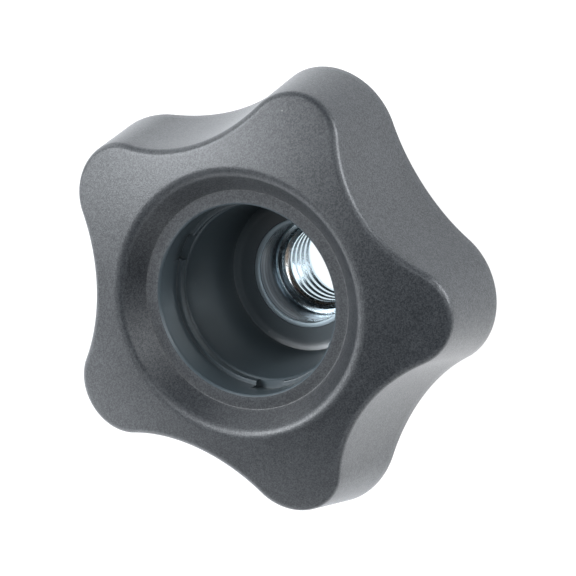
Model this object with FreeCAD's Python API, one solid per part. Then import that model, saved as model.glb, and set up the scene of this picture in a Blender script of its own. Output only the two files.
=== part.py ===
import FreeCAD, Part
import math
import os

# Five-lobed star knob with an open, stepped bore and a steel threaded bush.
# Millimetres, +Z up. The origin is the centre of the hub's end face, where the
# knob meets the machine; +Z points out of the open, cap side of the knob.

V = FreeCAD.Vector
AXIS = V(0, 0, 1)

# Star grip: its outline at the height where the lobe tips meet the underside
lobe_count = 5
tip_radius = 40.0
valley_radius = 30.7
lobe_radius = 11.4
side_draft = 9.5
first_lobe_angle = 90.0

# Heights of the grip's rims: the seat ring above the hub's end face, the face
# rim above that ring, and the back rim above the hub's end face
ring_height = 42.5
face_rise_at_valley = 2.35
face_rise_at_tip = -0.2
back_height_at_valley = 24.2
back_height_at_tip = 27.8
face_edge_bevel = 0.6

# Sunken cap seat round the mouth
ring_radius = 19.05
seat_slope = 44.0
seat_rim_fillet = 2.3
mouth_radius = 16.87
mouth_break = 0.32

# Stepped bore, depths measured down from the seat ring
ledge_depth = 6.45
ledge_width = 0.75
land_height = 1.5
land_step = 0.3
bore_floor_radius = 14.0
bore_floor_depth = 24.2
floor_corner_fillet = 1.7
floor_fall = 0.1

# Relief notches that interrupt the ledge
notch_count = 3
notch_width_deg = 16.0
notch_from_lobe = 5.4
notch_top_depth = 4.3
notch_reach = 0.6

# Hub under the grip
hub_radius = 15.0
hub_root_fillet = 3.0
hub_end_chamfer = 0.6

# Steel bush: open socket at the top, then the M16 x 2 thread as its plain bore
thread_minor_radius = 7.0
rim_radius = 10.0
socket_radius = 9.1
socket_depth = 7.7
socket_floor_width = 0.9
exit_sink_reach = 0.95
exit_sink_depth = 0.55
knurl_radius = 11.2
knurl_depth = 0.6
knurl_teeth = 24
knurl_top_gap = 1.0
groove_radius = 10.2
groove_width = 2.4


class Profile:
    """Closed (r, z) outline of lines and arcs that is turned about the axis."""

    def __init__(self, r, z):
        self.first = V(r, 0, z)
        self.last = self.first
        self.edges = []

    def line(self, r, z):
        end = V(r, 0, z)
        self.edges.append(Part.makeLine(self.last, end))
        self.last = end
        return self

    def arc(self, middle, end):
        self.edges.append(Part.Arc(self.last, middle, end).toShape())
        self.last = end
        return self

    def turned(self, angle=360.0):
        self.line(self.first.x, self.first.z)
        return Part.Face(Part.Wire(self.edges)).revolve(V(0, 0, 0), AXIS, angle)


class Dome:
    """Sphere centred on the axis below the face, through two circles (r, z)."""

    def __init__(self, r_a, z_a, r_b, z_b):
        self.centre = (r_b ** 2 + z_b ** 2 - r_a ** 2 - z_a ** 2) / (2.0 * (z_b - z_a))
        self.radius = math.hypot(r_a, z_a - self.centre)

    def at(self, r):
        return V(r, 0, self.centre + math.sqrt(self.radius ** 2 - r ** 2))

    def carries(self, edge):
        """True for an edge that lies on the dome."""
        first, last = edge.ParameterRange
        marks = [edge.valueAt(first + (last - first) * k / 4.0) for k in range(5)]
        heart = V(0, 0, self.centre)
        return all(abs((mark - heart).Length - self.radius) < 1e-3 for mark in marks)

    def blend(self, start, lean, radius):
        """Foot, middle and head of the arc that rounds the dome's inner rim.

        The arc runs from the line that leans outwards from start to the dome,
        and touches the dome from within.
        """
        lean = math.radians(lean)
        along = V(math.cos(lean), 0, math.sin(lean))
        across = V(math.sin(lean), 0, -math.cos(lean))
        heart = V(0, 0, self.centre)
        rel = start + across * radius - heart
        reach = self.radius - radius
        b = rel.dot(along)
        travel = math.sqrt(b * b - rel.dot(rel) + reach * reach) - b
        centre = rel + heart + along * travel
        foot = centre - across * radius
        head = centre + (centre - heart).normalize() * radius
        middle = centre + (foot + head - centre * 2.0).normalize() * radius
        return foot, middle, head


def polar(radius, degrees, z=0.0):
    a = math.radians(degrees)
    return V(radius * math.cos(a), radius * math.sin(a), z)


def corner_arc(before, corner, after, radius):
    """Start, middle and end of the arc that rounds a corner between two lines."""
    u = (before - corner).normalize()
    w = (after - corner).normalize()
    half = math.acos(u.dot(w)) / 2.0
    bisector = (u + w).normalize()
    reach = radius / math.tan(half)
    middle = corner + bisector * (radius / math.sin(half) - radius)
    return corner + u * reach, middle, corner + w * reach


def growth(z):
    """How far the drafted side wall lies outside the tip outline at a height."""
    return (back_height_at_tip - z) * math.tan(math.radians(side_draft))


def face_dome():
    z_valley = ring_height + face_rise_at_valley
    z_tip = ring_height + face_rise_at_tip
    return Dome(valley_radius + growth(z_valley), z_valley, tip_radius + growth(z_tip), z_tip)


def underside(r):
    """Point of the underside cone, which runs through both back rim heights."""
    r_valley = valley_radius + growth(back_height_at_valley)
    rise = back_height_at_tip - back_height_at_valley
    return V(r, 0, back_height_at_tip + (r - tip_radius) * rise / (tip_radius - r_valley))


def hollow_radius():
    """Radius of the hollow arc that touches both neighbouring lobe arcs."""
    half = math.pi / lobe_count
    lobe_c = tip_radius - lobe_radius
    top = lobe_radius ** 2 - lobe_c ** 2 - valley_radius ** 2
    top += 2.0 * lobe_c * valley_radius * math.cos(half)
    return top / (2.0 * (valley_radius - lobe_c * math.cos(half) - lobe_radius))


def star_block(low, high):
    """Drafted star between two heights; its wall is a ring of tangent cone patches."""
    step = 360.0 / lobe_count
    lobe_c = tip_radius - lobe_radius
    hollow_c = valley_radius + hollow_radius()
    toward = polar(hollow_c, step / 2.0) - polar(lobe_c, 0.0)
    spread = math.degrees(math.atan2(toward.y, toward.x))
    faces = []
    for k in range(lobe_count):
        a = first_lobe_angle + k * step
        lobe = polar(lobe_c, a)
        hollow = polar(hollow_c, a + step / 2.0)
        for side, centre, turn in ((-1, lobe, 2.0 * spread), (1, hollow, step - 2.0 * spread)):
            ends = [lobe + polar(lobe_radius + growth(z), a + side * spread, z) for z in (low, high)]
            faces.append(Part.makeLine(ends[0], ends[1]).revolve(centre, AXIS, turn))
    for z in (low, high):
        rim = [e for f in faces for e in f.Edges if max(abs(v.Z - z) for v in e.Vertexes) < 1e-6]
        faces.append(Part.Face(Part.Wire(Part.__sortEdges__(rim))))
    shell = Part.Shell(faces)
    shell.sewShape()
    return Part.Solid(shell)


def rim_height():
    """Height of the bush's rim, where the bore floor meets it."""
    return ring_height - bore_floor_depth - floor_fall


def turned_body():
    """Everything of the moulding that is round: face, underside, hub and bore."""
    face = face_dome()
    far = tip_radius + lobe_radius / 2.0
    ring = ring_height
    wall = mouth_radius - mouth_break
    ledge = ring - ledge_depth
    land_r = wall - ledge_width
    land_low = ledge - land_height
    floor = ring - bore_floor_depth
    hub = hub_radius
    root = corner_arc(V(hub, 0, 0), underside(hub), underside(far), hub_root_fillet)
    rim = face.blend(V(ring_radius, 0, ring), seat_slope, seat_rim_fillet)
    step = V(land_r - land_step, 0, land_low - land_step)
    corner = corner_arc(step, V(bore_floor_radius, 0, floor), V(rim_radius, 0, rim_height()),
                        floor_corner_fillet)
    shape = Profile(0.0, 0.0)
    shape.line(hub - hub_end_chamfer, 0.0)
    shape.line(hub, hub_end_chamfer)
    shape.line(root[0].x, root[0].z)
    shape.arc(root[1], root[2])
    shape.line(far, underside(far).z)
    shape.line(far, face.at(far).z)
    shape.arc(face.at((rim[2].x + far) / 2.0), rim[2])
    shape.arc(rim[1], rim[0])
    shape.line(ring_radius, ring)
    shape.line(mouth_radius, ring)
    shape.line(wall, ring - mouth_break)
    shape.line(wall, ledge)
    shape.line(land_r, ledge)
    shape.line(land_r, land_low)
    shape.line(step.x, step.z)
    shape.line(corner[0].x, corner[0].z)
    shape.arc(corner[1], corner[2])
    shape.line(rim_radius, rim_height())
    shape.line(0.0, rim_height())
    return shape.turned()


def notch_wedges():
    """Wedges that open the ledge and lean out into the wall above it."""
    wall = mouth_radius - mouth_break
    top = ring_height - notch_top_depth
    low = ring_height - ledge_depth - land_height
    inner = wall - ledge_width
    wedges = []
    for k in range(notch_count):
        shape = Profile(inner, low)
        shape.line(wall + notch_reach, low).line(wall, top).line(inner, top)
        wedge = shape.turned(notch_width_deg)
        turn = first_lobe_angle + notch_from_lobe - notch_width_deg / 2.0
        wedge.rotate(V(0, 0, 0), AXIS, turn + k * 360.0 / notch_count)
        wedges.append(wedge)
    return wedges


def make_body(blank):
    """Moulded knob: grip and hub in one, notched, with its bed for the bush."""
    face = face_dome()
    body = turned_body().common(star_block(-1.0, face.centre + face.radius))
    edge = [e for e in body.Edges if face.carries(e) and e.BoundBox.ZLength > 0.01]
    body = body.makeChamfer(face_edge_bevel, edge)
    for wedge in notch_wedges():
        body = body.cut(wedge)
    return body.cut(blank)


def knurled_bar(height):
    """Upright bar whose small straight teeth hold the bush against turning."""
    points = []
    for k in range(2 * knurl_teeth):
        radius = knurl_radius - knurl_depth * (k % 2)
        points.append(polar(radius, k * 180.0 / knurl_teeth))
    points.append(points[0])
    return Part.Face(Part.makePolygon(points)).extrude(V(0, 0, height))


def bush_blank():
    """Outside of the bush: two knurled bands, the groove between, the rim sleeve."""
    top = rim_height()
    body_top = top - socket_depth - knurl_top_gap
    low = (body_top - groove_width) / 2.0
    groove = Part.makeCylinder(knurl_radius + 1.0, groove_width, V(0, 0, low))
    groove = groove.cut(Part.makeCylinder(groove_radius, groove_width, V(0, 0, low)))
    bar = knurled_bar(body_top).cut(groove)
    return bar.fuse(Part.makeCylinder(rim_radius, top)).removeSplitter()


def make_bush(blank):
    """Bush with its open socket, the plain thread bore and both countersinks."""
    top = rim_height()
    floor = top - socket_depth
    sink_r = socket_radius - socket_floor_width
    exit_r = thread_minor_radius + exit_sink_reach
    hole = Profile(0.0, -1.0)
    hole.line(exit_r, -1.0).line(exit_r, 0.0)
    hole.line(thread_minor_radius, exit_sink_depth)
    hole.line(thread_minor_radius, floor - (sink_r - thread_minor_radius))
    hole.line(sink_r, floor).line(socket_radius, floor)
    hole.line(socket_radius, top + 1.0).line(0.0, top + 1.0)
    return blank.cut(hole.turned())


def main():
    os.makedirs("parts", exist_ok=True)
    blank = bush_blank()
    make_body(blank).exportStep("parts/knob_body.step")
    make_bush(blank).exportStep("parts/threaded_bush.step")


main()
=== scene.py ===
"""Star knob: a moulded five-lobed grip with an open, stepped bore and a steel threaded bush.

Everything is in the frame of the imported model. Sizes in the classes are millimetres, and the
meshes are metres. +Z runs along the thread out of the open side, and the hub stands on z = 0.
"""
import logging
import math
from dataclasses import dataclass
from enum import Enum
from typing import Iterable, Sequence, Union

import bmesh
import bpy
from mathutils import Euler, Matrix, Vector


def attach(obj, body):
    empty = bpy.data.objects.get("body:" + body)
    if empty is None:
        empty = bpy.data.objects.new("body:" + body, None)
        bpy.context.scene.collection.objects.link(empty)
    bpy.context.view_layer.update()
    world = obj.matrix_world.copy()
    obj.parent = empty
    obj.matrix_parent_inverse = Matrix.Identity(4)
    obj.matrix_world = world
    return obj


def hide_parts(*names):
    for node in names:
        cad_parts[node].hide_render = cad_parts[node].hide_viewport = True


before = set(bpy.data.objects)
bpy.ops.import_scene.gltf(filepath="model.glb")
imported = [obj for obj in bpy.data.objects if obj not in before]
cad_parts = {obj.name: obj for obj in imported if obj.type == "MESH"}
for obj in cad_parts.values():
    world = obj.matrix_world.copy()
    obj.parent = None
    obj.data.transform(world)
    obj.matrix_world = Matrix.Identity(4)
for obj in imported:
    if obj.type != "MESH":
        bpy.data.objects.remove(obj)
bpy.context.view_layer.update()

LOG = logging.getLogger("star_knob")
MM = 0.001
TURN = 2.0 * math.pi
WELD = 2e-6
SLACK = 1e-6
BEND = "bend"

# Sizes that neighbouring parts share, in millimetres
RING_HEIGHT = 42.5
MOUTH_RADIUS = 16.87
BUSH_RADIUS = 10.0
BUSH_TOP = 18.2

Point = tuple[float, float]
Color = tuple[float, float, float]
Mesh = bpy.types.Mesh
Material = bpy.types.Material
Socket = bpy.types.NodeSocket


class Number:
    """A number that a node tree works out, written as ordinary arithmetic."""

    def __init__(self, tree: bpy.types.NodeTree, socket: Socket) -> None:
        """Keep the tree and the socket that carries the number."""
        self.tree = tree
        self.socket = socket

    def __add__(self, other: "Value") -> "Number":
        """Sum."""
        return worked("ADD", self, other)

    def __radd__(self, other: "Value") -> "Number":
        """Sum with a plain number in front."""
        return worked("ADD", other, self)

    def __sub__(self, other: "Value") -> "Number":
        """Difference."""
        return worked("SUBTRACT", self, other)

    def __rsub__(self, other: "Value") -> "Number":
        """Difference from a plain number."""
        return worked("SUBTRACT", other, self)

    def __mul__(self, other: "Value") -> "Number":
        """Product."""
        return worked("MULTIPLY", self, other)

    def __rmul__(self, other: "Value") -> "Number":
        """Product with a plain number in front."""
        return worked("MULTIPLY", other, self)

    def __truediv__(self, other: "Value") -> "Number":
        """Quotient."""
        return worked("DIVIDE", self, other)

    def __rtruediv__(self, other: "Value") -> "Number":
        """Quotient of a plain number by this one."""
        return worked("DIVIDE", other, self)

    def __neg__(self) -> "Number":
        """Opposite."""
        return worked("MULTIPLY", self, -1.0)


Value = Union[Number, float]
Triple = tuple[Value, Value, Value]


def worked(operation: str, *values: Value) -> Number:
    """Add one math node.

    Args:
        operation: the node's operation, such as "SINE".
        values: its inputs in order, at least one of them from a tree.

    Returns:
        The node's result.
    """
    tree = next(value.tree for value in values if isinstance(value, Number))
    node = tree.nodes.new("ShaderNodeMath")
    node.operation = operation
    for socket, value in zip(node.inputs, values):
        if isinstance(value, Number):
            tree.links.new(value.socket, socket)
        else:
            socket.default_value = value
    return Number(tree, node.outputs[0])


def chosen(test: Number, first: Value, second: Value) -> Number:
    """Give first where the test is 1 and second where it is 0."""
    return test * first + (1.0 - test) * second


def held(value: Value, low: float = 0.0, high: float = 1.0) -> Number:
    """Hold a number between two limits."""
    return worked("MINIMUM", worked("MAXIMUM", value, low), high)


def along(start: Triple, direction: Triple, distance: Value) -> Triple:
    """Give the place at a distance from start in a direction."""
    return tuple(s + d * distance for s, d in zip(start, direction))


def mixed(start: Triple, end: Triple, share: Value) -> Triple:
    """Give the place at a share of the way from start to end."""
    return tuple(s + (e - s) * share for s, e in zip(start, end))


def dot(a: Triple, b: Triple) -> Number:
    """Give the dot product."""
    return a[0] * b[0] + a[1] * b[1] + a[2] * b[2]


def swung(start: Triple, end: Triple, share: Number) -> Triple:
    """Give the unit direction at a share of the turn between two unit directions.

    Args:
        start: the first direction.
        end: the second direction.
        share: 0 for the first and 1 for the second.

    Returns:
        The direction.
    """
    angle = worked("ARCCOSINE", dot(start, end))
    whole = worked("SINE", angle)
    first = worked("SINE", (1.0 - share) * angle) / whole
    second = worked("SINE", share * angle) / whole
    return tuple(s * first + e * second for s, e in zip(start, end))


def painted(value: object) -> object:
    """Give a colour its opacity, and leave anything else as it is."""
    return (*value, 1.0) if isinstance(value, tuple) else value


class Sketch:
    """A node tree that is wired by the names of its sockets.

    The mixing node has sockets of the same name for every kind of value. BLEND_INPUTS and
    BLEND_RESULT are the places of those that mix colours.
    """

    BLEND_INPUTS = (0, 6, 7)
    BLEND_RESULT = 2

    def __init__(self, tree: bpy.types.NodeTree) -> None:
        """Keep the tree."""
        self.tree = tree

    def wire(self, value: object, socket: Socket) -> None:
        """Feed a socket from a number, another socket or a plain value.

        Args:
            value: what feeds it.
            socket: the socket to feed.
        """
        if isinstance(value, Number):
            value = value.socket
        if isinstance(value, Socket):
            self.tree.links.new(value, socket)
        else:
            socket.default_value = value

    def node(self, kind: str, **links: object) -> bpy.types.Node:
        """Add a node.

        Args:
            kind: the node's type name.
            links: input names with spaces as underscores, each with what feeds it.

        Returns:
            The node.
        """
        node = self.tree.nodes.new(kind)
        for name, value in links.items():
            self.wire(value, node.inputs[name.replace("_", " ")])
        return node

    def output(self, kind: str, name: str, **links: object) -> Number:
        """Add a node and give one of its outputs as a number."""
        return Number(self.tree, self.node(kind, **links).outputs[name])

    def vector(self, x: Value, y: Value, z: Value) -> Socket:
        """Join three numbers into a vector."""
        return self.node("ShaderNodeCombineXYZ", X=x, Y=y, Z=z).outputs[0]

    def split(self, vector: Socket) -> Triple:
        """Take a vector apart into three numbers."""
        parts = self.node("ShaderNodeSeparateXYZ", Vector=vector)
        return tuple(Number(self.tree, socket) for socket in parts.outputs)

    def noise(self, vector: Socket, scale: Value, detail: float, rough: float = 0.5) -> Number:
        """Add a noise of the given scale, 0.5 on average."""
        return self.output("ShaderNodeTexNoise", "Fac", Vector=vector, Scale=scale, Detail=detail,
                           Roughness=rough)

    def blend(self, share: Value, first: object, second: object) -> Socket:
        """Mix two colours.

        Args:
            share: 0 for the first colour and 1 for the second.
            first: a colour or a colour socket.
            second: a colour or a colour socket.

        Returns:
            The mixed colour.
        """
        node = self.tree.nodes.new("ShaderNodeMix")
        node.data_type = "RGBA"
        for place, value in zip(self.BLEND_INPUTS, (share, first, second)):
            self.wire(painted(value), node.inputs[place])
        return node.outputs[self.BLEND_RESULT]


class Recipe(Sketch):
    """A geometry node tree with named inputs, and the object it is run on."""

    def __init__(self, name: str) -> None:
        """Start an empty tree.

        Args:
            name: the tree's name.
        """
        super().__init__(bpy.data.node_groups.new(name, "GeometryNodeTree"))
        self.tree.interface.new_socket("Geometry", in_out="INPUT", socket_type="NodeSocketGeometry")
        self.tree.interface.new_socket("Geometry", in_out="OUTPUT", socket_type="NodeSocketGeometry")
        self.entry = self.tree.nodes.new("NodeGroupInput")
        self.exit = self.tree.nodes.new("NodeGroupOutput")
        self.values: dict[str, object] = {}
        self.material: Material | None = None

    def input(self, name: str, kind: str, value: object) -> Socket:
        """Add a named input and remember the value that the run gives it.

        Args:
            name: the input's name.
            kind: its socket type.
            value: what the run sets it to.

        Returns:
            The socket inside the tree.
        """
        item = self.tree.interface.new_socket(name, in_out="INPUT", socket_type=kind)
        self.values[item.identifier] = value
        return self.entry.outputs[name]

    def number(self, name: str, value: float) -> Number:
        """Add a named number."""
        return Number(self.tree, self.input(name, "NodeSocketFloat", value))

    def grid(self, columns: int, rows: int) -> tuple[Socket, Number, Number]:
        """Add a grid whose points are placed by the recipe.

        Args:
            columns: cells across.
            rows: cells upwards.

        Returns:
            The grid's geometry, each point's share across from 0 to 1, and its row from 0.
        """
        across = self.input("Columns", "NodeSocketInt", columns + 1)
        upwards = self.input("Rows", "NodeSocketInt", rows + 1)
        grid = self.node("GeometryNodeMeshGrid", Size_X=1.0, Size_Y=1.0, Vertices_X=across,
                         Vertices_Y=upwards)
        x, y, _ = self.split(self.node("GeometryNodeInputPosition").outputs[0])
        return grid.outputs["Mesh"], x + 0.5, (y + 0.5) * float(rows)

    def placed(self, geometry: Socket, place: Triple) -> Socket:
        """Move every point to a place given in millimetres."""
        position = self.vector(*(value * MM for value in place))
        return self.node("GeometryNodeSetPosition", Geometry=geometry, Position=position).outputs[0]

    def finished(self, geometry: Socket, material: Material) -> None:
        """End the tree: realised, welded along its seams, and dressed in a material.

        Args:
            geometry: what the tree made.
            material: its finish.
        """
        real = self.node("GeometryNodeRealizeInstances", Geometry=geometry)
        weld = self.input("Weld Distance", "NodeSocketFloat", WELD)
        welded = self.node("GeometryNodeMergeByDistance", Geometry=real.outputs[0], Distance=weld)
        self.material = material
        finish = self.input("Material", "NodeSocketMaterial", material)
        dressed = self.node("GeometryNodeSetMaterial", Geometry=welded.outputs[0], Material=finish)
        self.wire(dressed.outputs[0], self.exit.inputs[0])

    def run(self, name: str, mesh: Mesh | None = None) -> Mesh:
        """Run the tree and keep its result as a plain mesh.

        Args:
            name: the new mesh's name.
            mesh: the geometry that enters the tree, if it uses any.

        Returns:
            The plain mesh.
        """
        holder = bpy.data.objects.new(name, mesh or bpy.data.meshes.new(name))
        bpy.context.scene.collection.objects.link(holder)
        modifier = holder.modifiers.new("recipe", "NODES")
        modifier.node_group = self.tree
        for identifier, value in self.values.items():
            modifier[identifier] = value
        holder.update_tag()
        graph = bpy.context.evaluated_depsgraph_get()
        result = bpy.data.meshes.new_from_object(holder.evaluated_get(graph), depsgraph=graph)
        result.name = name
        result.materials.clear()
        result.materials.append(self.material)
        bpy.data.objects.remove(holder)
        return result


def repeated(sector: Mesh, count: int, first: float, material: Material) -> Mesh:
    """Repeat a sector about the knob's axis until it closes on itself.

    Args:
        sector: one sector's mesh.
        count: how many go round.
        first: the first one's turn, in degrees.
        material: what all of them are made of.

    Returns:
        The closed ring as one welded mesh.
    """
    recipe = Recipe("repeat_about_axis")
    amount = recipe.input("Count", "NodeSocketInt", count)
    start = recipe.number("First Angle", math.radians(first))
    step = recipe.number("Step", TURN / count)
    points = recipe.node("GeometryNodePoints", Count=amount)
    index = recipe.output("GeometryNodeInputIndex", "Index")
    turn = recipe.vector(0.0, 0.0, start + index * step)
    copies = recipe.node("GeometryNodeInstanceOnPoints", Points=points.outputs[0],
                         Instance=recipe.entry.outputs["Geometry"], Rotation=turn)
    recipe.finished(copies.outputs[0], material)
    return recipe.run(sector.name, sector)


@dataclass(frozen=True)
class Corner:
    """A corner of a turned outline, rounded by an arc.

    Args:
        r: distance from the axis.
        z: height.
        arc: the arc's radius, or 0 for a sharp corner.
        steps: edges along the arc.
    """

    r: float
    z: float
    arc: float = 0.0
    steps: int = 4


def rounded(corners: Sequence[Corner], spacing: float = 2.5) -> list[Point]:
    """Follow a turned outline round its corners.

    Args:
        corners: the outline's corners in order; the first and last stay as they are.
        spacing: the longest edge along a straight run.

    Returns:
        Points (r, z) along the outline.
    """
    points: list[Point] = [(corners[0].r, corners[0].z)]
    for before, corner, after in zip(corners, corners[1:], corners[2:]):
        here = Vector((corner.r, corner.z))
        back = (Vector((before.r, before.z)) - here).normalized()
        ahead = (Vector((after.r, after.z)) - here).normalized()
        if corner.arc <= 0.0:
            points.append((here.x, here.y))
            continue
        half = back.angle(ahead) / 2.0
        centre = here + (back + ahead).normalized() * corner.arc / math.sin(half)
        reach = corner.arc / math.tan(half)
        first = here + back * reach - centre
        sweep = first.angle_signed(here + ahead * reach - centre)
        for step in range(corner.steps + 1):
            a = -sweep * step / corner.steps
            points.append((centre.x + first.x * math.cos(a) - first.y * math.sin(a),
                           centre.y + first.x * math.sin(a) + first.y * math.cos(a)))
    points.append((corners[-1].r, corners[-1].z))
    return divided(points, spacing)


def divided(points: Sequence[Point], spacing: float) -> list[Point]:
    """Split the long edges of a path into equal shorter ones.

    Args:
        points: the path (r, z).
        spacing: the longest edge allowed.

    Returns:
        The path with its new points.
    """
    result = [points[0]]
    for (r0, z0), (r1, z1) in zip(points, points[1:]):
        parts = max(1, math.ceil(math.hypot(r1 - r0, z1 - z0) / spacing))
        result += [(r0 + (r1 - r0) * k / parts, z0 + (z1 - z0) * k / parts) for k in range(1, parts + 1)]
    return result


def sheet_mesh(name: str, columns: Sequence[Sequence[Vector]]) -> Mesh:
    """Join columns of equal length into one sheet of faces.

    Args:
        name: the mesh's name.
        columns: points of each column, in metres, counter-clockwise about the axis.

    Returns:
        The mesh, welded where columns meet.
    """
    sheet = bmesh.new()
    rows = [[sheet.verts.new(place) for place in column] for column in columns]
    for left, right in zip(rows, rows[1:]):
        for k in range(len(left) - 1):
            sheet.faces.new((left[k], right[k], right[k + 1], left[k + 1]))
    bmesh.ops.remove_doubles(sheet, verts=sheet.verts, dist=WELD)
    mesh = bpy.data.meshes.new(name)
    sheet.to_mesh(mesh)
    sheet.free()
    return mesh


def around(radius: float, degrees: float, z: float) -> Vector:
    """Give a place in metres from millimetres and degrees about the axis."""
    a = math.radians(degrees)
    return Vector((radius * math.cos(a), radius * math.sin(a), z)) * MM


def turned(name: str, path: Sequence[Point], sweep: float, columns: int) -> Mesh:
    """Turn a path through part of a circle about the axis."""
    angles = [sweep * k / columns for k in range(columns + 1)]
    return sheet_mesh(name, [[around(r, angle, z) for r, z in path] for angle in angles])


def bend_at(corner: bmesh.types.BMVert) -> float:
    """Measure how sharply the surface bends at a point, per millimetre, positive on outer edges.

    Args:
        corner: the point.

    Returns:
        The bend of its sharpest edge.
    """
    bend = 0.0
    for edge in corner.link_edges:
        width = sum(face.calc_area() for face in edge.link_faces) / (2.0 * edge.calc_length())
        turn = edge.calc_face_angle_signed(0.0) * MM / max(width, WELD)
        if abs(turn) > abs(bend):
            bend = turn
    return bend


def united(name: str, meshes: Sequence[Mesh], sharp: float) -> bpy.types.Object:
    """Weld meshes into one smooth-shaded object that knows where it bends.

    Args:
        name: the object's name.
        meshes: the parts, which meet at common points.
        sharp: edges that turn by more degrees than this stay crisp.

    Returns:
        The object, at the origin.
    """
    materials: list[Material] = []
    whole = bmesh.new()
    for part in meshes:
        before = len(whole.faces)
        whole.from_mesh(part)
        whole.faces.ensure_lookup_table()
        material = part.materials[0]
        if material not in materials:
            materials.append(material)
        for face in whole.faces[before:]:
            face.material_index = materials.index(material)
            face.smooth = True
        bpy.data.meshes.remove(part)
    bmesh.ops.remove_doubles(whole, verts=whole.verts, dist=WELD)
    bmesh.ops.dissolve_degenerate(whole, edges=whole.edges, dist=WELD / 2.0)
    open_edges = sum(1 for edge in whole.edges if len(edge.link_faces) != 2)
    LOG.info("%s: %d faces, %d edges not shared by two faces", name, len(whole.faces), open_edges)
    bends = [bend_at(corner) for corner in whole.verts]
    mesh = bpy.data.meshes.new(name)
    whole.to_mesh(mesh)
    whole.free()
    mesh.attributes.new(BEND, "FLOAT", "POINT").data.foreach_set("value", bends)
    for material in materials:
        mesh.materials.append(material)
    mesh.set_sharp_from_angle(angle=math.radians(sharp))
    piece = bpy.data.objects.new(name, mesh)
    bpy.context.scene.collection.objects.link(piece)
    return piece


class Effect(Sketch):
    """A shader node group with named inputs and outputs, built once and shared by the finishes."""

    def __init__(self, name: str, **inputs: float) -> None:
        """Start the group.

        Args:
            name: the group's name.
            inputs: its number inputs with spaces as underscores, each with its usual value.
        """
        super().__init__(bpy.data.node_groups.new(name, "ShaderNodeTree"))
        for label, value in inputs.items():
            socket = self.tree.interface.new_socket(label.replace("_", " "), in_out="INPUT",
                                                    socket_type="NodeSocketFloat")
            socket.default_value = value
        self.entry = self.tree.nodes.new("NodeGroupInput")
        self.exit = self.tree.nodes.new("NodeGroupOutput")

    def given(self, name: str) -> Number:
        """Read one of the group's inputs."""
        return Number(self.tree, self.entry.outputs[name])

    def place(self) -> Socket:
        """Give the point's own place on the piece."""
        return self.node("ShaderNodeTexCoord").outputs["Object"]

    def give(self, **results: Number) -> None:
        """Add the group's outputs.

        Args:
            results: the outputs' names, each with its number.
        """
        for label, value in results.items():
            self.tree.interface.new_socket(label, in_out="OUTPUT", socket_type="NodeSocketFloat")
            self.wire(value, self.exit.inputs[label])


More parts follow.
